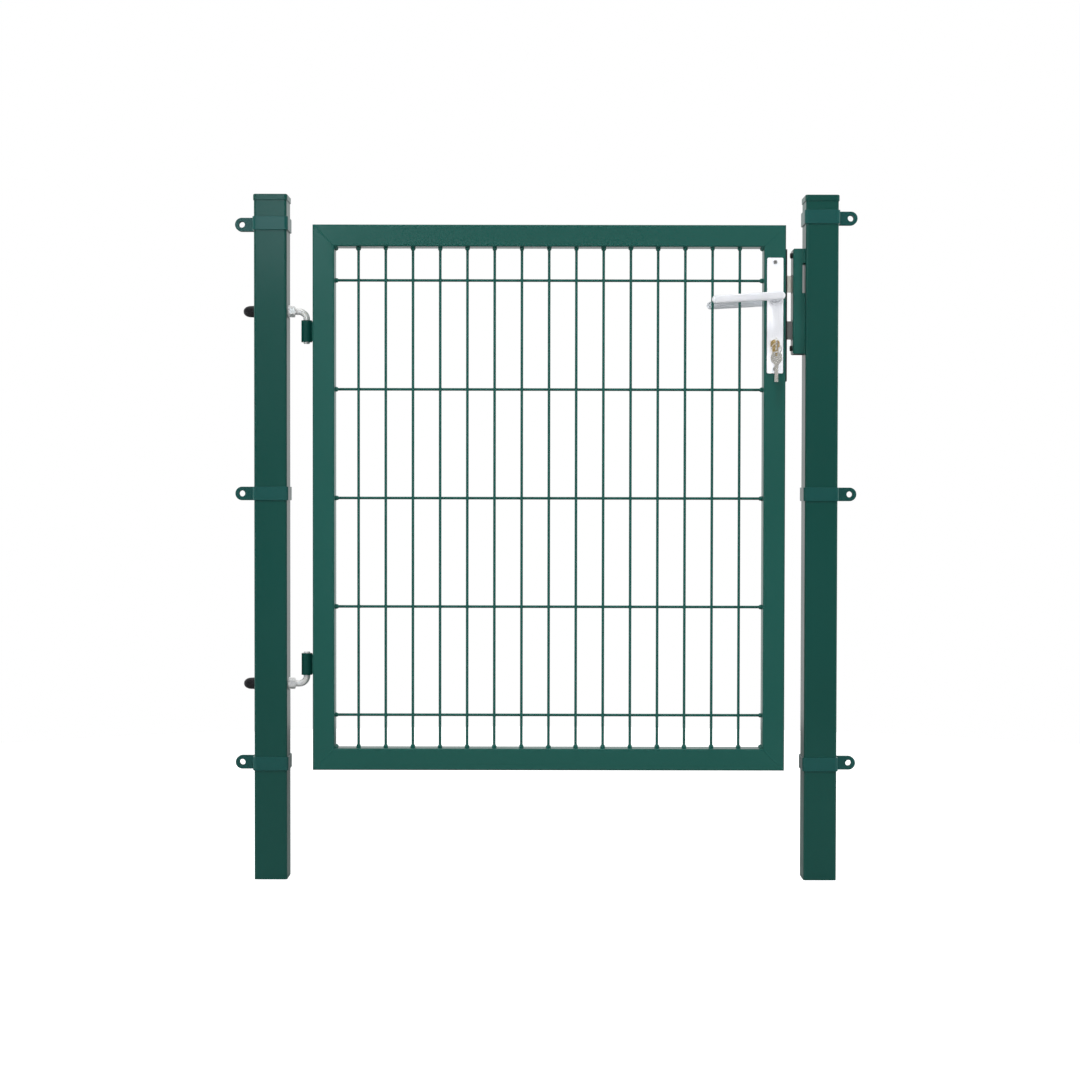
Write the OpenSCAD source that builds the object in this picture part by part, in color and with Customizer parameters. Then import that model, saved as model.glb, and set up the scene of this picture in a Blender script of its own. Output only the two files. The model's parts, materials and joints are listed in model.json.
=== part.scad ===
// Garden gate set: a welded-mesh leaf in a mitred tube frame, hung between two square posts.
// The origin is on the ground, midway between the posts. +X runs from the hinge post to the
// latch post, +Y runs through the leaf from front to back and +Z is up. Millimetres.

/* [Posts] */
// Clear distance between the two posts
clear_gap = 947; // [940:1:960]
// Outside width of each square post
post_w = 60; // [58:1:64]
// Wall thickness of the posts
post_wall = 2; // [1.5:0.5:2.5]
// Height of the posts from their feet to the cut top end
post_h = 1250; // [1245:5:1750]
// Thickness of a post cap's top plate
cap_t = 4; // [3:0.5:6]

/* [Leaf frame] */
// Height of the leaf
leaf_h = 1000; // [990:1:1010]
// Height of the leaf's lower edge over the feet of the posts
leaf_z0 = 200; // [190:1:200]
// Gap between the hinge post and the leaf
hinge_gap = 46; // [46:1:49]
// Gap between the leaf and the latch post
latch_gap = 35; // [34:1:37]
// Outside width of the leaf's square tube
tube_w = 40; // [38:1:42]
// Wall thickness of the leaf's tube
tube_wall = 2; // [1.5:0.5:2.5]

/* [Mesh] */
// Diameter of the mesh wires
wire_d = 5; // [4:0.5:6]
// Number of upright wires
upright_count = 15; // [11:1:15]
// Distance between upright wires
upright_pitch = 50; // [44:1:50]
// Distance between cross wires
cross_pitch = 200; // [180:1:200]

/* [Hinges] */
// Diameter of the bent hinge bolts
bolt_d = 12; // [11:0.5:12]
// Distance of each hinge bolt from the top or bottom edge of the leaf
hinge_inset = 158; // [150:1:200]
// Length of the hinge barrels
barrel_len = 40; // [30:1:50]

/* [Post clamps] */
// Width of a clamp's band
clamp_h = 25; // [22:1:30]
// Radius of the hole in a clamp's lug
lug_hole_r = 5.5; // [4:0.5:6]
// Distance of the lug hole from the outer face of the post
lug_reach = 25; // [24:1:35]
// Heights of the three clamps on the hinge post
hinge_clamp_z = [213, 708, 1201];
// Heights of the three clamps on the latch post
latch_clamp_z = [213, 708, 1214];

/* [Lock] */
// Height of the lever spindle under the leaf's top edge
spindle_drop = 133; // [130:1:140]
// Distance between the spindle and the lock cylinder
lock_centres = 85; // [85:1:86]
// Length of the lever grips from the spindle to the free end
lever_len = 119; // [100:1:125]
// Angle at which the lever grips droop
lever_droop = 3.5; // [0:0.5:5]
// How far the deadbolt stands out of the lock when it is thrown
deadbolt_throw = 20; // [18:1:20]

/* [Hidden] */
$fn = 64;
tiny = 0.05;
post_r = 4;
tube_r = 3;
half_gap = clear_gap / 2;
post_x = half_gap + post_w / 2;
leaf_x0 = -half_gap + hinge_gap;
leaf_x1 = half_gap - latch_gap;
leaf_z1 = leaf_z0 + leaf_h;
inner_x0 = leaf_x0 + tube_w;
inner_x1 = leaf_x1 - tube_w;
inner_z0 = leaf_z0 + tube_w;
inner_z1 = leaf_z1 - tube_w;
mid_x = (leaf_x0 + leaf_x1) / 2;
mid_z = (leaf_z0 + leaf_z1) / 2;
half_tube = tube_w / 2;

// Mesh: the uprights lie in front of the cross wires and just touch them.
wire_y = wire_d / 2 + 0.02;
upright_x0 = mid_x - upright_pitch * (upright_count - 1) / 2;
cross_count = 5;
cross_z0 = mid_z - cross_pitch * (cross_count - 1) / 2;

// Hinges: each bolt runs through the post and bends into the barrel on the leaf.
hinge_x = leaf_x0 - 12.5;
bend_r = 14;
bolt_r = bolt_d / 2;
barrel_r = 10;
barrel_bore_r = bolt_r + 0.05;
bolt_z_low = leaf_z0 + hinge_inset;
bolt_z_high = leaf_z1 - hinge_inset;
barrel_gap = 2;
pin_past = 3;
nut_flats = 18;
nut_t = 10;
nut_bore_r = bolt_r + 0.06;
washer_r = 12;
washer_t = 2.5;
bolt_past_nut = 4;
cover_r = 11.5;
cover_len = 22.5;

// Clamps: a flat strip wrapped round the post, its two ends bent out as a double lug.
strip_t = 2.5;
strip_fit = 0.1;
lug_slot = 6;
bend_in = 2;

// Lock, on the middle plane of the latch stile.
lock_x = leaf_x1 - tube_w / 2;
spindle_z = leaf_z1 - spindle_drop;
cyl_z = spindle_z - lock_centres;
forend_t = 3;
forend_w = 23;
forend_z0 = spindle_z - 152;
forend_z1 = spindle_z + 90;
forend_x1 = leaf_x1 + forend_t;
plate_t = 3;
plate_w = 29.5;
plate_z0 = spindle_z - 138;
plate_z1 = spindle_z + 73;
plate_face = half_tube + plate_t;
plate_screw_inset = 8;
case_x0 = leaf_x1 - 35;
case_wall = 1.5;
case_half = 8;
case_z0 = spindle_z - 119;
case_z1 = spindle_z + 59;
profile_r = 8.5;
profile_web = 10;
profile_h = 33;
cylinder_half = 27;
plug_r = 6.5;
cam_gap = 5.3;
cam_r = 13.2;
cam_cut = 14;
cylinder_screw_z = cyl_z - 19.3;
running = 0.06;
follower_r = 10;
boss_r = 7;
spindle_w = 8;
spindle_half = 54;
arm_r = 18;
arm_tip_r = 3;
arm_lean = 22;
latch_h = 30;
latch_half = 6;
latch_z = spindle_z + 27;
latch_tip_x = forend_x1 + 16;
latch_head_x = leaf_x1 - 7.5;
latch_tail_x = lock_x - 0.2;
latch_hook_t = 3.5;
latch_bevel = 9;
deadbolt_h = 33;
deadbolt_half = 6;
deadbolt_z = cyl_z + 27;
deadbolt_head_x = leaf_x1;
deadbolt_tail_x = leaf_x1 - 12.5;
spring_z = latch_z + 10.8;
spring_r = 3;
spring_wire_r = 0.5;
spring_turns = 7;
spring_steps = 14;

// Levers.
neck_r = 8.5;
grip_y = 65;
grip_t = 10;
grip_r = 7.75;
bush_r = 12;
bush_proud = 6;

// Strike: a channel on the latch post with openings for the latch and the deadbolt.
strike_depth = 22;
strike_wall = 2;
strike_z0 = spindle_z - 102;
strike_z1 = spindle_z + 90;
strike_screw_inset = 11;
rivet_nut_r = 4.5;

// Keys: one in the cylinder and a spare on a split ring.
key_t = 2.2;
key_h = 8;
key_bow_r = 12;
key_hole_r = 3;
key_hole_y = -48;
ring_r = 10;
ring_wire_r = 1;
ring_twist = 25;
spare_twist = 50;
spare_len = 50;

coat = [0.10, 0.33, 0.29];
zinc = [0.78, 0.79, 0.80];
steel = [0.62, 0.63, 0.65];
satin = [0.88, 0.89, 0.92];
black = [0.10, 0.10, 0.11];
brass = [0.80, 0.66, 0.40];
nickel = [0.85, 0.85, 0.86];

// ---- shared shapes ----

// Rectangle x by y with true round corners of radius r.
module round_rect(x, y, r) {
    square([x - 2 * r, y], center = true);
    square([x, y - 2 * r], center = true);
    for (sx = [-1, 1])
        for (sy = [-1, 1])
            translate([sx * (x / 2 - r), sy * (y / 2 - r)])
                circle(r);
}

// Square tube section.
module tube_section(w, wall, r) {
    difference() {
        round_rect(w, w, r);
        round_rect(w - 2 * wall, w - 2 * wall, max(r - wall, 0.6));
    }
}

// Box between two corner points.
module box(a, b) {
    translate(a)
        cube(b - a);
}

// Rod of radius r along X, from x0 to x1, at y and z.
module rod_x(r, x0, x1, y, z) {
    translate([x0, y, z])
        rotate([0, 90, 0])
            cylinder(r = r, h = x1 - x0);
}

// Rod of radius r along Y, from y0 to y1, at x and z.
module rod_y(r, y0, y1, x, z) {
    translate([x, y1, z])
        rotate([90, 0, 0])
            cylinder(r = r, h = y1 - y0);
}

// Extrudes a shape drawn in the X-Z plane from y0 to y1.
module slab(y0, y1) {
    translate([0, y1, 0])
        rotate([90, 0, 0])
            linear_extrude(y1 - y0)
                children();
}

// Hexagon nut along +Z with a bore and chamfered corners.
module hex_nut(flats, t, bore) {
    corner = flats / 2 / cos(30);
    drop = corner - flats / 2;
    difference() {
        intersection() {
            cylinder(r = corner, h = t, $fn = 6);
            rotate_extrude()
                polygon([[0, 0], [flats / 2, 0], [corner + 0.1, drop], [corner + 0.1, t - drop],
                         [flats / 2, t], [0, t]]);
        }
        translate([0, 0, -1])
            cylinder(r = bore, h = t + 2);
    }
}

// Outline of a profile cylinder in the X-Z plane, round head at the origin.
module profile_outline(grow) {
    bottom = profile_r - profile_h;
    circle(profile_r + grow);
    translate([-profile_web / 2 - grow, bottom + profile_web / 2])
        square([profile_web + 2 * grow, -bottom - profile_web / 2]);
    translate([0, bottom + profile_web / 2])
        circle(profile_web / 2 + grow);
}

// ---- posts and what is fixed to them ----

module post(side) {
    translate([side * post_x, 0, 0])
        linear_extrude(post_h)
            tube_section(post_w, post_wall, post_r);
}

module hinge_post() {
    color(coat)
        difference() {
            post(-1);
            for (z = [bolt_z_low, bolt_z_high])
                rod_x(bolt_r + 0.5, -half_gap - post_w - 1, -half_gap + 1, 0, z);
        }
}

module latch_post() {
    color(coat)
        difference() {
            post(1);
            for (z = [strike_z0 + strike_screw_inset, strike_z1 - strike_screw_inset])
                rod_x(rivet_nut_r + tiny, half_gap - 1, half_gap + post_wall + 1, 0, z);
        }
}

// Cap with a short outside skirt and a plug that grips the inside of the post.
module post_cap(side) {
    skirt = 7;
    over = 1.4;
    plug_fit = 0.3;
    plug_wall = 2;
    plug_len = 18;
    chamfer = 1;
    inside = post_w - 2 * post_wall - 2 * plug_fit;
    color(coat)
        translate([side * post_x, 0, post_h]) {
            difference() {
                union() {
                    translate([0, 0, -skirt])
                        linear_extrude(skirt + cap_t - chamfer)
                            round_rect(post_w + 2 * over, post_w + 2 * over, post_r + over);
                    linear_extrude(cap_t)
                        round_rect(post_w + 2 * over - 2 * chamfer, post_w + 2 * over - 2 * chamfer,
                                   post_r + over - chamfer);
                }
                translate([0, 0, -skirt - 1])
                    linear_extrude(skirt + 1)
                        round_rect(post_w + 0.2, post_w + 0.2, post_r);
            }
            translate([0, 0, -plug_len])
                linear_extrude(plug_len)
                    difference() {
                        round_rect(inside, inside, 2);
                        round_rect(inside - 2 * plug_wall, inside - 2 * plug_wall, 0.6);
                    }
        }
}

module hinge_post_cap() post_cap(-1);
module latch_post_cap() post_cap(1);

// Clamp drawn round a post at the origin, its lug pointing to -X.
module clamp_body() {
    in = post_w / 2 + strip_fit;
    out = in + strip_t;
    tab_y = lug_slot / 2;
    bend_x = -out - bend_in;
    bend_y = tab_y + strip_t + bend_in;
    hole_x = -post_w / 2 - lug_reach;
    linear_extrude(clamp_h, center = true) {
        difference() {
            round_rect(2 * out, 2 * out, post_r + strip_fit + strip_t);
            round_rect(2 * in, 2 * in, post_r + strip_fit);
            translate([-out - 1, -bend_y])
                square([strip_t + 2, 2 * bend_y]);
        }
        for (s = [-1, 1])
            intersection() {
                translate([bend_x, s * bend_y])
                    difference() {
                        circle(bend_in + strip_t);
                        circle(bend_in);
                    }
                translate([bend_x, s > 0 ? tab_y : -bend_y])
                    square([bend_in + strip_t, bend_y - tab_y]);
            }
    }
    for (y0 = [tab_y, -tab_y - strip_t])
        slab(y0, y0 + strip_t)
            difference() {
                union() {
                    translate([hole_x, -clamp_h / 2])
                        square([bend_x - hole_x, clamp_h]);
                    translate([hole_x, 0])
                        circle(clamp_h / 2);
                }
                translate([hole_x, 0])
                    circle(lug_hole_r);
            }
}

module clamp(side, level) {
    color(coat)
        translate([side * post_x, 0, (side < 0 ? hinge_clamp_z : latch_clamp_z)[level]])
            rotate([0, 0, side < 0 ? 0 : 180])
                clamp_body();
}

module hinge_clamp_low() clamp(-1, 0);
module hinge_clamp_mid() clamp(-1, 1);
module hinge_clamp_top() clamp(-1, 2);
module latch_clamp_low() clamp(1, 0);
module latch_clamp_mid() clamp(1, 1);
module latch_clamp_top() clamp(1, 2);

// Bent bolt with its pin pointing down; the threaded end is plain here.
module hinge_bolt(z, turn) {
    outer_end = -half_gap - post_w - nut_t - bolt_past_nut;
    pin_len = barrel_gap + barrel_len + pin_past;
    chamfer = 1.5;
    color(zinc)
        translate([hinge_x, 0, z])
            mirror([0, 0, turn]) {
                translate([-bend_r, 0, 0])
                    rotate([0, -90, 0]) {
                        cylinder(r = bolt_r, h = hinge_x - bend_r - outer_end - chamfer);
                        translate([0, 0, hinge_x - bend_r - outer_end - chamfer])
                            cylinder(r1 = bolt_r, r2 = bolt_r - chamfer, h = chamfer);
                    }
                translate([-bend_r, 0, -bend_r])
                    rotate([90, 0, 0])
                        rotate_extrude(angle = 90)
                            translate([bend_r, 0])
                                circle(bolt_r);
                translate([0, 0, -bend_r - pin_len + chamfer])
                    cylinder(r = bolt_r, h = pin_len - chamfer);
                translate([0, 0, -bend_r - pin_len])
                    cylinder(r1 = bolt_r - chamfer, r2 = bolt_r, h = chamfer);
            }
}

module upper_hinge_bolt() hinge_bolt(bolt_z_high, 0);
module lower_hinge_bolt() hinge_bolt(bolt_z_low, 1);

module inner_hinge_nuts() {
    color(zinc)
        for (z = [bolt_z_low, bolt_z_high])
            translate([-half_gap + washer_t, 0, z])
                rotate([0, 90, 0])
                    hex_nut(nut_flats, nut_t, nut_bore_r);
}

module outer_hinge_nuts() {
    color(zinc)
        for (z = [bolt_z_low, bolt_z_high])
            translate([-half_gap - post_w - nut_t, 0, z])
                rotate([0, 90, 0])
                    hex_nut(nut_flats, nut_t, nut_bore_r);
}

module hinge_washers() {
    color(zinc)
        for (z = [bolt_z_low, bolt_z_high])
            difference() {
                rod_x(washer_r, -half_gap, -half_gap + washer_t, 0, z);
                rod_x(bolt_r + 0.5, -half_gap - 1, -half_gap + washer_t + 1, 0, z);
            }
}

// Domed cover over an outer nut, hollow for the nut and the bolt's end.
module nut_cover(z) {
    straight = 9;
    steps = 16;
    nut_room = nut_t + 0.5;
    end_room = nut_room + bolt_past_nut + 0.5;
    dome = cover_len - straight;
    color(black)
        translate([-half_gap - post_w, 0, z])
            rotate([0, -90, 0])
                difference() {
                    rotate_extrude()
                        polygon(concat(
                            [[0, 0], [cover_r, 0]],
                            [for (i = [0 : steps])
                                [cover_r * cos(90 * i / steps),
                                 straight + dome * sin(90 * i / steps)]]));
                    translate([0, 0, -1])
                        cylinder(r = nut_flats / 2 / cos(30) + 0.15, h = nut_room + 1);
                    cylinder(r = bolt_r + 0.4, h = end_room);
                }
}

module upper_nut_cover() nut_cover(bolt_z_high);
module lower_nut_cover() nut_cover(bolt_z_low);

module strike() {
    web_x = half_gap - strike_depth;
    notch_z0 = spindle_z + 9;
    notch_z1 = spindle_z + 64;
    notch_w = 5;
    slot_half = 7.5;
    latch_room = 2;
    screw_hole_r = 3.3;
    color(coat)
        difference() {
            translate([0, 0, strike_z0])
                linear_extrude(strike_z1 - strike_z0)
                    difference() {
                        translate([web_x, -half_tube])
                            square([strike_depth, tube_w]);
                        translate([web_x + strike_wall, -half_tube + strike_wall])
                            square([strike_depth, tube_w - 2 * strike_wall]);
                    }
            box([web_x - 1, -slot_half, latch_z - latch_h / 2 - latch_room],
                [web_x + strike_wall + 1, slot_half, latch_z + latch_h / 2 + latch_room]);
            box([web_x - 1, -slot_half, deadbolt_z - deadbolt_h / 2 - latch_room],
                [web_x + strike_wall + 1, slot_half, deadbolt_z + deadbolt_h / 2 + latch_room]);
            box([half_gap - notch_w, -half_tube - 1, notch_z0],
                [half_gap + 1, half_tube + 1, notch_z1]);
            for (z = [strike_z0 + strike_screw_inset, strike_z1 - strike_screw_inset])
                rod_x(screw_hole_r, web_x - 1, web_x + strike_wall + 1, 0, z);
        }
}

module strike_screws() {
    web_x = half_gap - strike_depth;
    head_t = 3.5;
    head_flats = 10;
    socket_flats = 5;
    shank_r = 3;
    color(steel)
        for (z = [strike_z0 + strike_screw_inset, strike_z1 - strike_screw_inset]) {
            rod_x(shank_r, web_x - tiny, half_gap + 8, 0, z);
            translate([web_x - head_t, 0, z])
                rotate([0, 90, 0])
                    difference() {
                        cylinder(r = head_flats / 2, h = head_t);
                        translate([0, 0, -1])
                            cylinder(r = socket_flats / 2 / cos(30), h = 3, $fn = 6);
                    }
        }
}

module strike_rivet_nuts() {
    flange_t = 0.8;
    color(steel)
        for (z = [strike_z0 + strike_screw_inset, strike_z1 - strike_screw_inset])
            difference() {
                union() {
                    rod_x(rivet_nut_r, half_gap - flange_t, half_gap + 14, 0, z);
                    rod_x(rivet_nut_r + 2, half_gap - flange_t, half_gap, 0, z);
                }
                rod_x(3 + running, half_gap - 2, half_gap + 15, 0, z);
            }
}

// ---- leaf frame and mesh ----

// Keeps the part of a frame corner on the stile's side of the mitre.
module mitre_cut(x_out, x_in, z_out, z_in) {
    more_x = 2 * x_out - x_in;
    more_z = 2 * z_out - z_in;
    slab(-half_tube - 1, half_tube + 1)
        polygon([[more_x, more_z], [2 * x_in - x_out, more_z], [2 * x_in - x_out, 2 * z_in - z_out]]);
}

module stile_blank(x_out, x_in) {
    difference() {
        translate([(x_out + x_in) / 2, 0, leaf_z0])
            linear_extrude(leaf_h)
                tube_section(tube_w, tube_wall, tube_r);
        mitre_cut(x_out, x_in, leaf_z1, inner_z1);
        mitre_cut(x_out, x_in, leaf_z0, inner_z0);
    }
}

// Rail between the mitres: the tube less what lies on the stiles' side of each corner.
module rail_blank(z_out, z_in) {
    difference() {
        translate([leaf_x0, 0, (z_out + z_in) / 2])
            rotate([0, 90, 0])
                linear_extrude(leaf_x1 - leaf_x0)
                    tube_section(tube_w, tube_wall, tube_r);
        for (side = [[leaf_x0, inner_x0], [leaf_x1, inner_x1]])
            slab(-half_tube - 1, half_tube + 1)
                polygon([
                    [2 * side[0] - side[1], 2 * z_out - z_in],
                    [2 * side[0] - side[1], 2 * z_in - z_out],
                    [2 * side[1] - side[0], 2 * z_in - z_out]
                ]);
    }
}

module hinge_stile() {
    color(coat)
        stile_blank(leaf_x0, inner_x0);
}

module latch_stile() {
    collar_hole_r = 11;
    profile_room = 1;
    shank_hole_r = 2.7;
    sleeve_hole_r = 3.6;
    color(coat)
        difference() {
            stile_blank(leaf_x1, inner_x1);
            box([leaf_x1 - tube_wall - 1, -case_half - 1, case_z0 - 2],
                [leaf_x1 + 1, case_half + 1, case_z1 + 2]);
            rod_y(collar_hole_r, -half_tube - 1, half_tube + 1, lock_x, spindle_z);
            translate([lock_x, 0, cyl_z])
                slab(-half_tube - 1, half_tube + 1)
                    profile_outline(profile_room);
            for (z = [plate_z0 + plate_screw_inset, plate_z1 - plate_screw_inset]) {
                rod_y(shank_hole_r, -half_tube - 1, 0, lock_x, z);
                rod_y(sleeve_hole_r, 0, half_tube + 1, lock_x, z);
            }
            for (z = [forend_z0 + 10, forend_z1 - 10])
                rod_x(2.5 + running, leaf_x1 - tube_wall - 1, leaf_x1 + 1, 0, z);
        }
}

module top_rail() {
    color(coat)
        rail_blank(leaf_z1, inner_z1);
}

module bottom_rail() {
    color(coat)
        rail_blank(leaf_z0, inner_z0);
}

// Barrel with a short web that stands on the stile.
module barrel(z0) {
    web_half = 4;
    web_inset = 2;
    color(coat)
        difference() {
            union() {
                translate([hinge_x, 0, z0])
                    cylinder(r = barrel_r, h = barrel_len);
                box([hinge_x + barrel_r - 2, -web_half, z0 + web_inset],
                    [leaf_x0, web_half, z0 + barrel_len - web_inset]);
            }
            translate([hinge_x, 0, z0 - 1])
                cylinder(r = barrel_bore_r, h = barrel_len + 2);
        }
}

module upper_barrel() barrel(bolt_z_high - bend_r - barrel_gap - barrel_len);
module lower_barrel() barrel(bolt_z_low + bend_r + barrel_gap);

module upright_wires() {
    color(coat)
        for (i = [0 : upright_count - 1])
            translate([upright_x0 + i * upright_pitch, -wire_y, inner_z0])
                cylinder(r = wire_d / 2, h = inner_z1 - inner_z0, $fn = 24);
}

module cross_wire(i) {
    color(coat)
        translate([inner_x0, wire_y, cross_z0 + i * cross_pitch])
            rotate([0, 90, 0])
                cylinder(r = wire_d / 2, h = inner_x1 - inner_x0, $fn = 24);
}

module cross_wire_1() cross_wire(0);
module cross_wire_2() cross_wire(1);
module cross_wire_3() cross_wire(2);
module cross_wire_4() cross_wire(3);
module cross_wire_5() cross_wire(4);

// ---- lock ----

// Openings that the case and its cover share: follower boss, cylinder and rivets.
module case_openings() {
    rod_y(boss_r + running, -case_half - 2, case_half + 2, lock_x, spindle_z);
    translate([lock_x, 0, cyl_z])
        slab(-case_half - 2, case_half + 2)
            profile_outline(0.3);
    case_rivet_places()
        rod_y(1.55, -case_half - 2, case_half + 2, 0, 0);
}

module case_rivet_places() {
    inset = 4;
    for (x = [case_x0 + inset, leaf_x1 - inset])
        for (z = [case_z0 + inset, case_z1 - inset])
            translate([x, 0, z])
                children();
}

module lock_case() {
    color(steel)
        difference() {
            box([case_x0, -case_half + case_wall, case_z0], [leaf_x1, case_half, case_z1]);
            box([case_x0 + case_wall, -case_half, case_z0 + case_wall],
                [leaf_x1 + 1, case_half - case_wall, case_z1 - case_wall]);
            case_openings();
        }
}

module case_cover() {
    color(steel)
        difference() {
            box([case_x0, -case_half, case_z0], [leaf_x1, -case_half + case_wall, case_z1]);
            case_openings();
        }
}

module case_rivets() {
    head_t = 0.8;
    color(steel)
        case_rivet_places() {
            rod_y(1.5, -case_half - head_t, case_half + head_t, 0, 0);
            rod_y(2.5, -case_half - head_t, -case_half, 0, 0);
            rod_y(2.5, case_half, case_half + head_t, 0, 0);
        }
}

module forend() {
    bolt_room = 0.5;
    countersink = 2.2;
    color(steel)
        difference() {
            translate([leaf_x1, 0, (forend_z0 + forend_z1) / 2])
                rotate([0, 90, 0])
                    linear_extrude(forend_t)
                        round_rect(forend_z1 - forend_z0, forend_w, 3);
            box([leaf_x1 - 1, -latch_half - bolt_room, latch_z - latch_h / 2 - bolt_room],
                [forend_x1 + 1, latch_half + bolt_room, latch_z + latch_h / 2 + bolt_room]);
            box([leaf_x1 - 1, -deadbolt_half - bolt_room, deadbolt_z - deadbolt_h / 2 - bolt_room],
                [forend_x1 + 1, deadbolt_half + bolt_room, deadbolt_z + deadbolt_h / 2 + bolt_room]);
            for (z = [forend_z0 + 10, forend_z1 - 10, cylinder_screw_z]) {
                rod_x(2.5 + running, leaf_x1 - 1, forend_x1 + 1, 0, z);
                translate([forend_x1 - countersink, 0, z])
                    rotate([0, 90, 0])
                        cylinder(r1 = 2.5 + running, r2 = 4.8 + running, h = countersink + 0.01);
            }
        }
}

// Countersunk screw along -X, its head flush with the forend, with a cross slot.
module countersunk(z, tip_x) {
    countersink = 2.2;
    slot_w = 1;
    difference() {
        union() {
            rod_x(2.5, tip_x, forend_x1 - countersink + 0.01, 0, z);
            translate([forend_x1 - countersink, 0, z])
                rotate([0, 90, 0])
                    cylinder(r1 = 2.5, r2 = 4.7, h = countersink);
        }
        for (a = [0, 90])
            translate([forend_x1, 0, z])
                rotate([a, 0, 0])
                    cube([2.4, 5, slot_w], center = true);
    }
}

module forend_screws() {
    color(steel)
        for (z = [forend_z0 + 10, forend_z1 - 10])
            countersunk(z, leaf_x1 - 9);
}

module cylinder_screw() {
    color(steel)
        countersunk(cylinder_screw_z, lock_x);
}

// Long cover plate; side -1 is the front, 1 the rear.
module long_plate(side) {
    y0 = side < 0 ? -plate_face : half_tube;
    color(satin)
        difference() {
            translate([lock_x, 0, (plate_z0 + plate_z1) / 2])
                slab(y0, y0 + plate_t)
                    round_rect(plate_w, plate_z1 - plate_z0, 2.5);
            rod_y(10.6, y0 - 1, y0 + plate_t + 1, lock_x, spindle_z);
            translate([lock_x, 0, cyl_z])
                slab(y0 - 1, y0 + plate_t + 1)
                    profile_outline(0.3);
            for (z = [plate_z0 + plate_screw_inset, plate_z1 - plate_screw_inset])
                rod_y(side < 0 ? 2.6 : 3.6, y0 - 1, y0 + plate_t + 1, lock_x, z);
        }
}

module front_plate() long_plate(-1);
module rear_plate() long_plate(1);

module plate_screws() {
    head_t = 1.8;
    color(steel)
        for (z = [plate_z0 + plate_screw_inset, plate_z1 - plate_screw_inset])
            difference() {
                union() {
                    rod_y(2.5, -plate_face - 0.5, 6, lock_x, z);
                    rod_y(3.5, -plate_face - head_t, -plate_face, lock_x, z);
                }
                for (a = [0, 90])
                    translate([lock_x, -plate_face - head_t, z])
                        rotate([0, a + 45, 0])
                            cube([4.5, 2, 0.9], center = true);
            }
}

module plate_sleeves() {
    head_t = 1.8;
    color(steel)
        for (z = [plate_z0 + plate_screw_inset, plate_z1 - plate_screw_inset])
            difference() {
                union() {
                    rod_y(3.5, -1, plate_face + 0.5, lock_x, z);
                    rod_y(4.5, plate_face, plate_face + head_t, lock_x, z);
                }
                rod_y(2.5 + running, -2, plate_face - 1, lock_x, z);
            }
}

// Flanged bush that carries a lever's neck in its plate.
module bush(side) {
    color(satin)
        mirror([0, side > 0 ? 1 : 0, 0])
            difference() {
                union() {
                    rod_y(bush_r, -plate_face - bush_proud, -plate_face, lock_x, spindle_z);
                    rod_y(10.5, -plate_face - 1, -half_tube + 1.5, lock_x, spindle_z);
                }
                rod_y(neck_r + running, -plate_face - bush_proud - 1, 0, lock_x, spindle_z);
            }
}

module front_bush() bush(-1);
module rear_bush() bush(1);

module cylinder_body() {
    color(brass)
        difference() {
            translate([lock_x, 0, cyl_z])
                slab(-cylinder_half, cylinder_half)
                    profile_outline(0);
            rod_y(plug_r + tiny, -cylinder_half - 1, cylinder_half + 1, lock_x, cyl_z);
            box([lock_x - profile_r - 1, -cam_gap, cyl_z - cam_cut],
                [lock_x + profile_r + 1, cam_gap, cyl_z + profile_r + 1]);
            rod_x(2.5 + running, lock_x - 1, lock_x + profile_r + 1, 0, cylinder_screw_z);
        }
}

// Plug with its keyway, between two stations on Y.
module plug(y0, y1) {
    color(brass)
        difference() {
            rod_y(plug_r, y0, y1, lock_x, cyl_z);
            box([lock_x - key_t / 2 - 0.15, y0 - 1, cyl_z - key_h / 2 - 0.15],
                [lock_x + key_t / 2 + 0.15, y1 + 1, cyl_z + key_h / 2 + 0.15]);
        }
}

module front_plug() plug(-cylinder_half - 0.3, -cam_gap);
module rear_plug() plug(cam_gap, cylinder_half + 0.3);

module cam() {
    finger_w = 8;
    color(steel)
        translate([lock_x, 0, cyl_z])
            slab(-cam_gap + 0.3, cam_gap - 0.3) {
                circle(plug_r + 0.5);
                intersection() {
                    circle(cam_r);
                    translate([-finger_w / 2, -cam_r])
                        square([finger_w, cam_r]);
                }
            }
}

// Lever: round neck on the spindle and a flattened grip with round ends.
module lever(side) {
    socket = spindle_w + 0.16;
    color(satin)
        mirror([0, side > 0 ? 1 : 0, 0])
            difference() {
                union() {
                    rod_y(neck_r, -grip_y, -half_tube + 1, lock_x, spindle_z);
                    translate([lock_x, 0, spindle_z])
                        rotate([0, -lever_droop, 0])
                            slab(-grip_y - grip_t / 2, -grip_y + grip_t / 2) {
                                translate([-lever_len + grip_r, 0])
                                    circle(grip_r);
                                translate([6, 0])
                                    circle(grip_r);
                                translate([-lever_len + grip_r, -grip_r])
                                    square([lever_len - grip_r + 6, 2 * grip_r]);
                            }
                }
                box([lock_x - socket / 2, -spindle_half - 1, spindle_z - socket / 2],
                    [lock_x + socket / 2, 0, spindle_z + socket / 2]);
                translate([lock_x, -plate_face - bush_proud - 5, spindle_z - neck_r - 1])
                    cylinder(r = 2.5 + running, h = neck_r);
            }
}

module front_lever() lever(-1);
module rear_lever() lever(1);

module spindle() {
    color(steel)
        box([lock_x - spindle_w / 2, -spindle_half, spindle_z - spindle_w / 2],
            [lock_x + spindle_w / 2, spindle_half, spindle_z + spindle_w / 2]);
}

module lever_grub_screws() {
    color(steel)
        for (side = [-1, 1])
            translate([lock_x, side * (plate_face + bush_proud + 5), spindle_z - neck_r])
                cylinder(r = 2.5, h = neck_r - spindle_w / 2);
}

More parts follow.
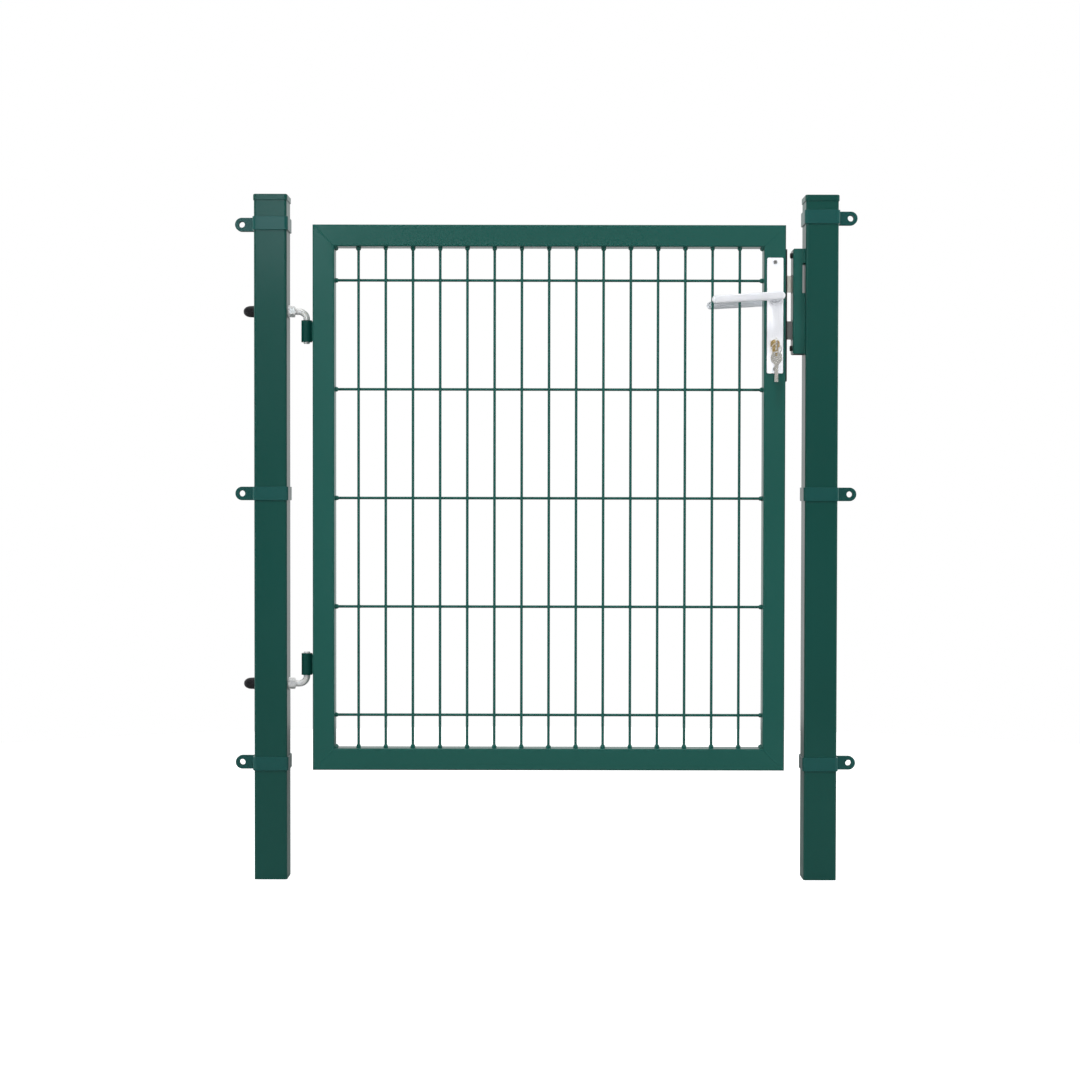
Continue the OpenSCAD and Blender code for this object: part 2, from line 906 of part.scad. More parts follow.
// Follower: hub on the spindle, bosses in the case walls and the arm that draws the latch.
module follower() {
    disc_half = 6.2;
    arm_half = 4;
    hole = spindle_w + 0.16;
    color(steel)
        difference() {
            union() {
                rod_y(follower_r, -disc_half, disc_half, lock_x, spindle_z);
                rod_y(boss_r, -case_half - 0.4, case_half + 0.4, lock_x, spindle_z);
                translate([lock_x, 0, spindle_z])
                    rotate([0, arm_lean, 0])
                        slab(-arm_half, arm_half) {
                            translate([-arm_tip_r, 0])
                                square([2 * arm_tip_r, arm_r]);
                            translate([0, arm_r])
                                circle(arm_tip_r);
                        }
            }
            box([lock_x - hole / 2, -case_half - 2, spindle_z - hole / 2],
                [lock_x + hole / 2, case_half + 2, spindle_z + hole / 2]);
        }
}

// Latch bolt: bevelled head, tail bar and the hook that the follower's arm pushes.
module latch_bolt() {
    tail_half = 4;
    tail_z = latch_z - 4;
    hook_z = latch_z - 10.2;
    color(steel)
        difference() {
            union() {
                box([latch_head_x, -latch_half, latch_z - latch_h / 2],
                    [latch_tip_x, latch_half, latch_z + latch_h / 2]);
                box([latch_tail_x, -tail_half, tail_z],
                    [latch_head_x + 1, tail_half, tail_z + 10]);
                box([latch_tail_x, -tail_half, hook_z],
                    [latch_tail_x + latch_hook_t, tail_half, tail_z + 1]);
            }
            translate([0, 0, latch_z - latch_h / 2 - 1])
                linear_extrude(latch_h + 2)
                    polygon([
                        [latch_tip_x - latch_bevel, -latch_half],
                        [latch_tip_x - latch_bevel, -latch_half - 1],
                        [latch_tip_x + 1, -latch_half - 1],
                        [latch_tip_x + 1, latch_half - 1.5],
                        [latch_tip_x, latch_half - 1.5]
                    ]);
        }
}

// Point on ring i of the spring, at angle a round the wire.
function spring_point(i, a, x0, len) =
    let (turn = 360 * i / spring_steps,
         reach = spring_r + spring_wire_r * cos(a))
    [x0 + len * i / (spring_turns * spring_steps) + spring_wire_r * sin(a),
     reach * cos(turn),
     spring_z + reach * sin(turn)];

// Compression spring between the case and the latch's head.
module latch_spring() {
    sides = 8;
    x0 = case_x0 + case_wall + spring_wire_r + 0.1;
    len = latch_head_x - spring_wire_r - 0.1 - x0;
    rings = spring_turns * spring_steps;
    color(steel)
        polyhedron(
            points = [for (i = [0 : rings]) for (k = [0 : sides - 1])
                spring_point(i, 360 * k / sides, x0, len)],
            faces = concat(
                [[for (k = [0 : sides - 1]) k]],
                [for (i = [0 : rings - 1]) for (k = [0 : sides - 1])
                    [i * sides + k, (i + 1) * sides + k,
                     (i + 1) * sides + (k + 1) % sides, i * sides + (k + 1) % sides]],
                [[for (k = [sides - 1 : -1 : 0]) rings * sides + k]]));
}

module deadbolt() {
    tail_half = 4;
    tail_h = 18;
    edge = 1;
    tip_x = forend_x1 + deadbolt_throw;
    color(steel) {
        box([deadbolt_head_x, -deadbolt_half, deadbolt_z - deadbolt_h / 2],
            [tip_x - edge, deadbolt_half, deadbolt_z + deadbolt_h / 2]);
        box([tip_x - edge - 1, -deadbolt_half + edge, deadbolt_z - deadbolt_h / 2 + edge],
            [tip_x, deadbolt_half - edge, deadbolt_z + deadbolt_h / 2 - edge]);
        box([deadbolt_tail_x, -tail_half, deadbolt_z - tail_h / 2],
            [deadbolt_head_x + 1, tail_half, deadbolt_z + tail_h / 2]);
    }
}

// ---- keys ----

// Bow of a key in the Y-Z plane, its hole at the origin and its shoulder at +Y.
module key_bow(shoulder) {
    rotate([90, 0, 90])
        linear_extrude(key_t, center = true)
            difference() {
                union() {
                    translate([key_bow_r - key_hole_r - 3, 0])
                        circle(key_bow_r);
                    translate([key_bow_r, -5])
                        square([shoulder - key_bow_r, 10]);
                }
                circle(key_hole_r);
            }
}

// The blade runs into the plug and the bow stands out of it, edge up.
module key() {
    shoulder = -cylinder_half - 1.3;
    color(nickel) {
        translate([lock_x, key_hole_y, cyl_z])
            key_bow(shoulder - key_hole_y);
        box([lock_x - key_t / 2, shoulder - 1, cyl_z - key_h / 2],
            [lock_x + key_t / 2, -cam_gap - 1.5, cyl_z + key_h / 2]);
    }
}

module key_ring() {
    color(nickel)
        translate([lock_x, key_hole_y, cyl_z - ring_r])
            rotate([90, 0, ring_twist])
                rotate_extrude()
                    translate([ring_r, 0])
                        circle(ring_wire_r);
}

// Spare key hanging from the bottom of the ring, turned a little to the front.
module spare_key() {
    notch = 1.6;
    hang = 17;
    color(nickel)
        translate([lock_x, key_hole_y, cyl_z - 2 * ring_r])
            rotate([0, 0, spare_twist])
                rotate([-90, 0, 0]) {
                    key_bow(hang + 2);
                    difference() {
                        box([-key_t / 2, hang, -key_h / 2 + 0.5], [key_t / 2, spare_len, key_h / 2 - 0.5]);
                        for (i = [0 : 3])
                            translate([0, hang + 9 + 6 * i, -key_h / 2 + 0.5])
                                rotate([45, 0, 0])
                                    cube([key_t + 1, notch, notch], center = true);
                    }
                }
}

// ---- one line for each node ----

hinge_post();
latch_post();
hinge_post_cap();
latch_post_cap();
hinge_clamp_low();
hinge_clamp_mid();
hinge_clamp_top();
latch_clamp_low();
latch_clamp_mid();
latch_clamp_top();
upper_hinge_bolt();
lower_hinge_bolt();
inner_hinge_nuts();
outer_hinge_nuts();
hinge_washers();
upper_nut_cover();
lower_nut_cover();
strike();
strike_screws();
strike_rivet_nuts();
hinge_stile();
latch_stile();
top_rail();
bottom_rail();
upper_barrel();
lower_barrel();
upright_wires();
cross_wire_1();
cross_wire_2();
cross_wire_3();
cross_wire_4();
cross_wire_5();
lock_case();
case_cover();
case_rivets();
forend();
forend_screws();
front_plate();
rear_plate();
plate_screws();
plate_sleeves();
front_bush();
rear_bush();
cylinder_body();
rear_plug();
cylinder_screw();
front_lever();
rear_lever();
spindle();
follower();
lever_grub_screws();
latch_bolt();
latch_spring();
deadbolt();
front_plug();
cam();
key();
key_ring();
spare_key();
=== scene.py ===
"""Garden gate set: detail pieces, finishes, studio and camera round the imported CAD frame."""
import json
import math
import random

import bmesh
import bpy
from mathutils import Matrix, Vector, noise


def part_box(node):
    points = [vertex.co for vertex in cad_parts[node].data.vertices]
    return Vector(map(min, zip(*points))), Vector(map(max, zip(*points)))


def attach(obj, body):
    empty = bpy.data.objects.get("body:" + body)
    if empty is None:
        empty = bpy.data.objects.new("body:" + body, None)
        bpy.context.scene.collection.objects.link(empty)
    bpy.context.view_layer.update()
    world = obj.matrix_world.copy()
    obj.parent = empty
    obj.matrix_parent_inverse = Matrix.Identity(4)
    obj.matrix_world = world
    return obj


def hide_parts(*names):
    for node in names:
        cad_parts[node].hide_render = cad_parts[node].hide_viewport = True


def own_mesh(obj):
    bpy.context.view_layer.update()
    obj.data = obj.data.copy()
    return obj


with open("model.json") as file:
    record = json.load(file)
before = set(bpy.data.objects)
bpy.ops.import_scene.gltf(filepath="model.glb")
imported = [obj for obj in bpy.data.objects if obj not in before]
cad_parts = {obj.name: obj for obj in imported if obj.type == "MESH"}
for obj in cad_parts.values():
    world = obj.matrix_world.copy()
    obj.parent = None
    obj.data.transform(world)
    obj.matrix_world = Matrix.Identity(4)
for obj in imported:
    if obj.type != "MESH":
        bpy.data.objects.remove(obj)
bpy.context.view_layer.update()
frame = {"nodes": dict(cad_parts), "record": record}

MM = 0.001
NODES = frame["nodes"]
FRONT, REAR = -1, 1


# ---- places taken from the CAD ----

def span(node):
    lo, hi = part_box(node)
    return Vector(lo), Vector(hi)


def middle(node):
    lo, hi = span(node)
    return (lo + hi) / 2


hinge_lo, hinge_hi = span("hinge_stile")
latch_lo, latch_hi = span("latch_stile")
LEAF_X0, LEAF_X1 = hinge_lo.x, latch_hi.x
LEAF_Z0, LEAF_Z1 = hinge_lo.z, hinge_hi.z
INNER_X0, INNER_X1 = hinge_hi.x, latch_lo.x
INNER_Z0, INNER_Z1 = span("bottom_rail")[1].z, span("top_rail")[0].z
TUBE_HALF = hinge_hi.y
LOCK = middle("spindle")


# ---- mesh helpers ----

MERGE_DISTANCE = 0.002 * MM
LEAST_RADIUS = 0.02 * MM
LUMP_SIZE = 1.6 * MM
FLAT_WITHIN = math.radians(0.25)
BEVEL_OVER = math.radians(28)
BEVEL_SEGMENTS = 3
SPLIT_OVER = math.radians(38)


def new_piece(name, bm, body, mat, replaced=()):
    """Object from a bmesh, riding on a CAD body."""
    mesh = bpy.data.meshes.new(name)
    bmesh.ops.recalc_face_normals(bm, faces=bm.faces[:])
    bm.to_mesh(mesh)
    bm.free()
    mesh.polygons.foreach_set("use_smooth", [True] * len(mesh.polygons))
    obj = bpy.data.objects.new(name, mesh)
    bpy.context.scene.collection.objects.link(obj)
    mesh.materials.append(mat)
    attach(obj, body)
    if replaced:
        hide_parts(*replaced)
    return obj


def ring_of(bm, points):
    return [bm.verts.new(p) for p in points]


def bridge(bm, a, b):
    n = len(a)
    for i in range(n):
        bm.faces.new((a[i], a[(i + 1) % n], b[(i + 1) % n], b[i]))


def loft(bm, rings):
    """Skin through rings of equal length, with flat ends."""
    made = [ring_of(bm, r) for r in rings]
    for a, b in zip(made, made[1:]):
        bridge(bm, a, b)
    bm.faces.new(made[0])
    bm.faces.new(made[-1])


def frame_along(direction):
    """Two unit vectors square to a direction."""
    d = direction.normalized()
    helper = Vector((0, 0, 1)) if abs(d.z) < 0.9 else Vector((0, 1, 0))
    u = d.cross(helper).normalized()
    return u, d.cross(u)


def circle_points(centre, u, v, radius, count):
    out = []
    for k in range(count):
        a = 2 * math.pi * k / count
        out.append(centre + u * (radius * math.cos(a)) + v * (radius * math.sin(a)))
    return out


def lathe(bm, base, axis, profile, count, rough=0.0, seed=0.0):
    """Solid of revolution from (distance along axis, radius) pairs; rough is its lumps' height."""
    axis = axis.normalized()
    u, v = frame_along(axis)
    shift = Vector((seed, 0, 0))
    rings = []
    for along, radius in profile:
        centre = base + axis * along
        pts = circle_points(centre, u, v, max(radius, LEAST_RADIUS), count)
        if rough:
            pts = [p + (p - centre).normalized() * rough * noise.noise(p / LUMP_SIZE + shift)
                   for p in pts]
        rings.append(pts)
    loft(bm, rings)


def round_end(share):
    """Relative width near a rounded tip; share is the distance from the tip in radii."""
    return math.sqrt(max(1e-4, 1 - (1 - min(1.0, share)) ** 2))


def sweep(bm, path, radius_at, count):
    """Round tube along a path; radius_at(index, angle) gives the radius."""
    u, v = frame_along(path[1] - path[0])
    rings = []
    for i, p in enumerate(path):
        ahead = path[min(i + 1, len(path) - 1)] - path[max(i - 1, 0)]
        d = ahead.normalized()
        u = (u - d * u.dot(d)).normalized()
        v = d.cross(u)
        rings.append([p + (u * math.cos(a) + v * math.sin(a)) * radius_at(i, a)
                      for a in (2 * math.pi * k / count for k in range(count))])
    loft(bm, rings)


def soften(obj, width):
    """Rounds an object's sharp edges with modifiers and keeps its flat faces flat."""
    weld = obj.modifiers.new("weld", "WELD")
    weld.merge_threshold = MERGE_DISTANCE
    flat = obj.modifiers.new("flat", "DECIMATE")
    flat.decimate_type = "DISSOLVE"
    flat.angle_limit = FLAT_WITHIN
    bevel = obj.modifiers.new("bevel", "BEVEL")
    bevel.width = width
    bevel.segments = BEVEL_SEGMENTS
    bevel.limit_method = "ANGLE"
    bevel.angle_limit = BEVEL_OVER
    bevel.miter_outer = "MITER_ARC"
    shade(obj)


def shade(obj):
    """Smooth shading that stays sharp along the object's own edges."""
    obj.data.polygons.foreach_set("use_smooth", [True] * len(obj.data.polygons))
    split = obj.modifiers.new("split", "EDGE_SPLIT")
    split.split_angle = SPLIT_OVER
    normals = obj.modifiers.new("normals", "WEIGHTED_NORMAL")
    normals.keep_sharp = True


# ---- materials ----

# Where a noise's values mostly lie.
NOISE_SPAN = (0.3, 0.7)
# The Mix node's colour sockets share their names with others, so they go by number.
MIX_COLOUR_A, MIX_COLOUR_B, MIX_COLOUR_OUT = 6, 7, 2


class Finish:
    """A Principled material with small helpers for its procedural detail."""

    def __init__(self, name, rough, metallic=0.0, coat=0.0, coat_rough=0.1, specular=0.5):
        self.mat = bpy.data.materials.new(name)
        self.mat.use_nodes = True
        self.tree = self.mat.node_tree
        self.shader = self.tree.nodes["Principled BSDF"]
        self.shader.inputs["Metallic"].default_value = metallic
        self.shader.inputs["Roughness"].default_value = rough
        self.shader.inputs["Coat Weight"].default_value = coat
        self.shader.inputs["Coat Roughness"].default_value = coat_rough
        self.shader.inputs["Specular IOR Level"].default_value = specular
        self.coord = self.tree.nodes.new("ShaderNodeTexCoord").outputs["Object"]

    def link(self, a, b):
        self.tree.links.new(a, b)

    def noise(self, scale, detail, rough=0.5, stretch=None):
        source = self.coord
        if stretch:
            mapping = self.tree.nodes.new("ShaderNodeMapping")
            mapping.inputs["Scale"].default_value = stretch
            self.link(source, mapping.inputs["Vector"])
            source = mapping.outputs["Vector"]
        node = self.tree.nodes.new("ShaderNodeTexNoise")
        node.inputs["Scale"].default_value = scale
        node.inputs["Detail"].default_value = detail
        node.inputs["Roughness"].default_value = rough
        self.link(source, node.inputs["Vector"])
        return node.outputs["Fac"]

    def spots(self, scale):
        node = self.tree.nodes.new("ShaderNodeTexVoronoi")
        node.inputs["Scale"].default_value = scale
        self.link(self.coord, node.inputs["Vector"])
        return node.outputs["Distance"]

    def ramp(self, fac, stops):
        node = self.tree.nodes.new("ShaderNodeValToRGB")
        marks = node.color_ramp.elements
        while len(marks) < len(stops):
            marks.new(0.5)
        for mark, (place, colour) in zip(marks, stops):
            mark.position = place
            mark.color = (*colour, 1)
        self.link(fac, node.inputs["Fac"])
        return node.outputs["Color"]

    def scaled(self, fac, low, high, to_low, to_high):
        node = self.tree.nodes.new("ShaderNodeMapRange")
        for key, value in zip(("From Min", "From Max", "To Min", "To Max"),
                              (low, high, to_low, to_high)):
            node.inputs[key].default_value = value
        self.link(fac, node.inputs["Value"])
        return node.outputs["Result"]

    def multiply(self, a, b):
        """Product of two colour outputs."""
        node = self.tree.nodes.new("ShaderNodeMix")
        node.data_type = "RGBA"
        node.blend_type = "MULTIPLY"
        node.inputs["Factor"].default_value = 1.0
        self.link(a, node.inputs[MIX_COLOUR_A])
        self.link(b, node.inputs[MIX_COLOUR_B])
        return node.outputs[MIX_COLOUR_OUT]

    def paint(self, colour):
        self.link(colour, self.shader.inputs["Base Color"])

    def gloss(self, fac, low, high):
        """Roughness between low and high over the middle of a noise."""
        self.link(self.scaled(fac, *NOISE_SPAN, low, high), self.shader.inputs["Roughness"])

    def bumps(self, *layers):
        """Each layer is (height output, strength, depth in metres)."""
        last = None
        for height, strength, depth in layers:
            node = self.tree.nodes.new("ShaderNodeBump")
            node.inputs["Strength"].default_value = strength
            node.inputs["Distance"].default_value = depth
            self.link(height, node.inputs["Height"])
            if last is not None:
                self.link(last, node.inputs["Normal"])
            last = node.outputs["Normal"]
        self.link(last, self.shader.inputs["Normal"])


def grey(value):
    return (value, value, value)


def powder_coat(name, dark, light, rough=(0.28, 0.33)):
    """Coating with a slow drift of colour, fine specks and slight orange peel."""
    f = Finish(name, rough=0.3, coat=0.1, coat_rough=0.12, specular=0.38)
    drift = f.ramp(f.noise(scale=2.2, detail=2.0), [(0.30, dark), (0.70, light)])
    speck = f.ramp(f.noise(scale=900.0, detail=2.0), [(0.35, grey(0.96)), (0.65, grey(1.03))])
    f.paint(f.multiply(drift, speck))
    f.gloss(f.noise(scale=7.0, detail=2.0), *rough)
    f.bumps((f.noise(scale=420.0, detail=1.0, rough=0.4), 0.07, 0.16 * MM))
    return f.mat


def zinc_plate(name):
    """Bright zinc that yellows a little in patches."""
    f = Finish(name, rough=0.3, metallic=0.5)
    tint = f.ramp(f.noise(scale=90.0, detail=3.0),
                  [(0.3, (0.82, 0.83, 0.86)), (0.55, (0.92, 0.92, 0.91)),
                   (0.75, (0.88, 0.86, 0.79))])
    f.paint(tint)
    f.gloss(f.noise(scale=2600.0, detail=2.0), low=0.24, high=0.36)
    f.bumps((f.noise(scale=3800.0, detail=2.0), 0.10, 0.03 * MM))
    return f.mat


def lock_steel(name, dark, light, metallic):
    """Drawn steel with upright streaks."""
    f = Finish(name, rough=0.36, metallic=metallic)
    streak = f.noise(scale=9.0, detail=5.0, rough=0.6, stretch=(60.0, 60.0, 4.0))
    f.paint(f.ramp(streak, [(0.3, dark), (0.7, light)]))
    f.gloss(f.noise(scale=300.0, detail=3.0), low=0.28, high=0.48)
    f.bumps((streak, 0.10, 0.05 * MM),
            (f.noise(scale=1500.0, detail=2.0), 0.08, 0.05 * MM))
    return f.mat


def satin_aluminium(name, along, metallic):
    """Brushed aluminium; along is the axis of its brush marks."""
    f = Finish(name, rough=0.4, metallic=metallic, specular=0.6)
    stretch = (1.0, 60.0, 60.0) if along == "x" else (60.0, 60.0, 1.0)
    streak = f.noise(scale=30.0, detail=6.0, rough=0.6, stretch=stretch)
    cloud = f.ramp(f.noise(scale=14.0, detail=3.0),
                   [(0.35, (0.88, 0.90, 0.95)), (0.65, (0.94, 0.95, 0.98))])
    grain = f.ramp(streak, [(0.3, (0.94, 0.94, 0.95)), (0.7, grey(1.03))])
    f.paint(f.multiply(cloud, grain))
    f.gloss(streak, low=0.28, high=0.42)
    f.bumps((streak, 0.12, 0.05 * MM),
            (f.noise(scale=2400.0, detail=2.0), 0.06, 0.04 * MM))
    return f.mat


def moulded_plastic(name):
    """Black moulding with a fine spark-eroded grain."""
    f = Finish(name, rough=0.4, specular=0.35)
    f.paint(f.ramp(f.noise(scale=120.0, detail=3.0),
                   [(0.3, (0.006, 0.006, 0.007)), (0.7, (0.014, 0.014, 0.016))]))
    f.gloss(f.noise(scale=500.0, detail=3.0), low=0.32, high=0.48)
    f.bumps((f.spots(scale=1500.0), 0.12, 0.12 * MM),
            (f.noise(scale=300.0, detail=3.0), 0.10, 0.1 * MM))
    return f.mat


def machined_brass(name):
    """Machined brass with fine marks along the cylinder."""
    f = Finish(name, rough=0.3, metallic=0.75)
    f.paint(f.ramp(f.noise(scale=220.0, detail=4.0),
                   [(0.3, (0.60, 0.41, 0.16)), (0.7, (0.79, 0.58, 0.28))]))
    f.gloss(f.noise(scale=600.0, detail=3.0), low=0.24, high=0.42)
    f.bumps((f.noise(scale=90.0, detail=5.0, rough=0.6, stretch=(20.0, 1.0, 20.0)),
             0.12, 0.06 * MM))
    return f.mat


def nickel_plate(name):
    """Nickelled key blank with fine upright streaks."""
    f = Finish(name, rough=0.25, metallic=0.75)
    streak = f.noise(scale=60.0, detail=5.0, rough=0.6, stretch=(40.0, 40.0, 2.0))
    f.paint(f.ramp(streak, [(0.3, (0.84, 0.81, 0.75)), (0.7, (0.94, 0.92, 0.87))]))
    f.gloss(f.noise(scale=5000.0, detail=2.0), low=0.22, high=0.28)
    f.bumps((streak, 0.08, 0.04 * MM))
    return f.mat


GREEN = powder_coat("green_powder_coat", (0.0066, 0.072, 0.058), (0.0084, 0.081, 0.066))
CLAMP_GREEN = powder_coat("clamp_powder_coat", (0.0045, 0.060, 0.053), (0.0060, 0.070, 0.064))
# Painted shade: the rolled barrels take a darker copy of the green coat for the shade round them.
SHADED_BARREL_GREEN = powder_coat("barrel_coat_painted_shade", (0.0022, 0.042, 0.034), (0.0034, 0.050, 0.041),
                           rough=(0.15, 0.20))
POST_GREEN = powder_coat("post_powder_coat", (0.0022, 0.049, 0.039), (0.0034, 0.057, 0.046))
ZINC = zinc_plate("zinc_plate")
STEEL = lock_steel("plated_steel", (0.30, 0.30, 0.31), (0.58, 0.57, 0.54), 0.8)
LATCH_STEEL = lock_steel("nickelled_latch_steel", (0.74, 0.70, 0.62), (0.93, 0.90, 0.83), 0.35)
# Painted shade and painted reflection: near-black steel on the forend, strike screws and rivet
# nuts darkens the gap between forend and strike.
GAP_SHADE_DARK_STEEL = lock_steel("dark_steel_painted_gap_shade", (0.008, 0.008, 0.009), (0.030, 0.029, 0.028), 0.2)
PLATE_METAL = satin_aluminium("satin_aluminium_plate", "z", 0.12)
LEVER_METAL = satin_aluminium("satin_aluminium_lever", "x", 0.4)
BLACK = moulded_plastic("black_moulding")
BRASS = machined_brass("machined_brass")
NICKEL = nickel_plate("nickel_plate")

SLOT_MATERIAL = {
    "green_coating": GREEN, "zinc_plating": ZINC, "lock_steel": STEEL,
    "black_plastic": BLACK, "satin_aluminium": PLATE_METAL, "brass": BRASS,
    "nickel_plating": NICKEL,
}
# Nodes whose finish differs from their slot's usual one, by the start of their names.
NODE_FINISH = (
    (("hinge_post", "latch_post"), POST_GREEN),
    (("hinge_clamp", "latch_clamp"), CLAMP_GREEN),
    # Painted shade: a darker copy of the green coat on the barrels.
    (("upper_barrel", "lower_barrel"), SHADED_BARREL_GREEN),
    (("front_bush", "rear_bush"), LEVER_METAL),
    (("latch_bolt",), LATCH_STEEL),
    # Painted shade: the near-black steel darkens the gap between forend and strike.
    (("forend", "strike_screws", "strike_rivet_nuts"), GAP_SHADE_DARK_STEEL),
)
# Width of the rounded edges, by slot and then by the start of a node's name.
EDGE = {"green_coating": 0.5 * MM, "zinc_plating": 0.3 * MM, "lock_steel": 0.25 * MM,
        "satin_aluminium": 0.6 * MM, "brass": 0.2 * MM, "nickel_plating": 0.25 * MM,
        "black_plastic": 0.4 * MM}
NODE_EDGE = {"hinge_clamp": 0.7 * MM, "latch_clamp": 0.7 * MM, "hinge_post_cap": 1.0 * MM,
             "latch_post_cap": 1.0 * MM, "cross_wire": 0.05 * MM}


def slot_of(node):
    return next(p["material_slot"] for p in frame["record"]["subparts"] if p["node"] == node)


def finish_cad_nodes():
    """Every node gets its finish and rounded edges; the faceted spring is replaced further on."""
    for name, obj in NODES.items():
        slot = slot_of(name)
        mat = next((m for starts, m in NODE_FINISH if name.startswith(starts)),
                   SLOT_MATERIAL[slot])
        width = next((w for start, w in NODE_EDGE.items() if name.startswith(start)), EDGE[slot])
        obj.data.materials.clear()
        obj.data.materials.append(mat)
        if name != "latch_spring":
            soften(obj, width)


# ---- mesh infill and its welds ----

UPRIGHTS = 15
CROSS_WIRES = 5
wires_lo, wires_hi = span("upright_wires")
WIRE_R = (wires_hi.y - wires_lo.y) / 2
UPRIGHT_Y = (wires_hi.y + wires_lo.y) / 2
UPRIGHT_X = [wires_lo.x + WIRE_R + i * (wires_hi.x - wires_lo.x - 2 * WIRE_R) / (UPRIGHTS - 1)
             for i in range(UPRIGHTS)]
CROSS = [middle(f"cross_wire_{i}") for i in range(1, CROSS_WIRES + 1)]

# The nuggets' usual radius and height, in millimetres.
NUGGET_R = 4.3
NUGGET_H = 5.4
NUGGET_ROOT = 0.4 * MM
NUGGET_LUMPS = 0.5 * MM


def nugget(bm, place, outward, seed):
    """Weld nugget where a wire's end stands on the frame; no two are quite alike."""
    rng = random.Random(seed)
    base_r = (NUGGET_R + rng.uniform(-0.35, 0.45)) * MM
    height = (NUGGET_H + rng.uniform(-0.6, 0.8)) * MM
    neck_r = WIRE_R + 0.12 * MM
    steps = 9
    profile = [(-NUGGET_ROOT, base_r)]
    for i in range(steps + 1):
        t = i / steps
        shoulder = (1 - t ** 2.2) ** 0.55 if t < 1 else 0
        profile.append((height * t, neck_r + (base_r - WIRE_R) * shoulder))
    profile.append((height + 0.6 * MM, WIRE_R - 0.1 * MM))
    lathe(bm, place, outward, profile, 28, rough=NUGGET_LUMPS, seed=seed * 3.7)


def build_wire_welds():
    """A nugget at each end of every wire."""
    bm = bmesh.new()
    seed = 1
    for x in UPRIGHT_X:
        for z, way in ((INNER_Z0, 1), (INNER_Z1, -1)):
            nugget(bm, Vector((x, UPRIGHT_Y, z)), Vector((0, 0, way)), seed)
            seed += 1
    for c in CROSS:
        for x, way in ((INNER_X0, 1), (INNER_X1, -1)):
            nugget(bm, Vector((x, c.y, c.z)), Vector((way, 0, 0)), seed)
            seed += 1
    new_piece("wire_end_welds", bm, "leaf", GREEN)


# Half the size of the lump at a crossing, in millimetres.
CROSSING_SIZE = Vector((3.35, 2.3, 3.35))


def build_crossing_welds():
    """Small fused lump at every crossing, fuller in the corners between the two wires."""
    bm = bmesh.new()
    seed = 0
    for x in UPRIGHT_X:
        for c in CROSS:
            seed += 1
            rng = random.Random(seed)
            size = CROSSING_SIZE * (1 + rng.uniform(-0.07, 0.09)) * MM
            lump = bmesh.ops.create_icosphere(bm, subdivisions=3, radius=1.0)
            for v in lump["verts"]:
                d = v.co.normalized()
                on_wires = math.cos(4 * math.atan2(d.z, d.x)) * (d.x ** 2 + d.z ** 2)
                lumps = noise.noise(d * 2.3 + Vector((seed, 0, 0)))
                r = (1 - 0.16 * on_wires) * (1 + 0.10 * lumps)
                v.co = Vector((x + d.x * size.x * r, d.y * size.y, c.z + d.z * size.z * r))
    new_piece("wire_crossing_welds", bm, "leaf", GREEN)


# ---- frame seams ----

# Weld beads: rings to a ripple, the ripple's height and unevenness as shares of the radius.
RIPPLE_STEPS = 6
RIPPLE = 0.13
UNEVEN = 0.10
UNEVEN_SIZE = 4 * MM
RIPPLE_LAG = 0.35
BEAD_SIDES = 18


def bead(bm, start, end, radius, period, seed, flatten=None):
    """Rippled weld bead from start to end; flatten is (direction, share of the height kept)."""
    length = (end - start).length
    steps = max(8, int(length / period * RIPPLE_STEPS))
    direction = (end - start).normalized()
    u, v = frame_along(direction)
    rng = random.Random(seed)
    phase = rng.uniform(0, 1)
    rings = []
    for i in range(steps + 1):
        t = i / steps
        p = start + direction * (length * t)
        cap = round_end(min(t, 1 - t) * length / radius)
        wave = ((length * t / period + phase) % 1.0)
        lumps = noise.noise(p / UNEVEN_SIZE + Vector((seed, 0, 0)))
        ripple = 1 + RIPPLE * (0.5 - wave) + UNEVEN * lumps
        ring = []
        for k in range(BEAD_SIDES):
            a = 2 * math.pi * k / BEAD_SIDES
            off = (u * math.cos(a) + v * math.sin(a)) * radius * cap * ripple
            if flatten:
                n, keep = flatten
                off -= n * off.dot(n) * (1 - keep)
            lag = direction * (-RIPPLE_LAG * period * (1 - abs(math.cos(a))) * cap)
            ring.append(p + off + lag)
        rings.append(ring)
    loft(bm, rings)


MITRE_R = 1.5 * MM
MITRE_KEPT = 0.17
MITRE_OUTER_INSET = 3.2 * MM
MITRE_INNER_INSET = 2.2 * MM
INNER_BEAD_R = 4.2 * MM
INNER_BEAD_OFF = 0.5 * MM
INNER_BEAD_SHORT = 3.5 * MM
INNER_RIPPLE = 2.6 * MM
OUTER_BEAD_R = 0.9 * MM
OUTER_BEAD_OFF = 0.75 * MM
OUTER_BEAD_SHORT = 4 * MM
FRAME_RIPPLE = 2.4 * MM


def corner_bead(bm, x, z, short, radius, period, seed):
    """Bead through the tube's depth at a corner, stopping short of both faces."""
    half = TUBE_HALF - short
    bead(bm, Vector((x, -half, z)), Vector((x, half, z)), radius, period, seed)


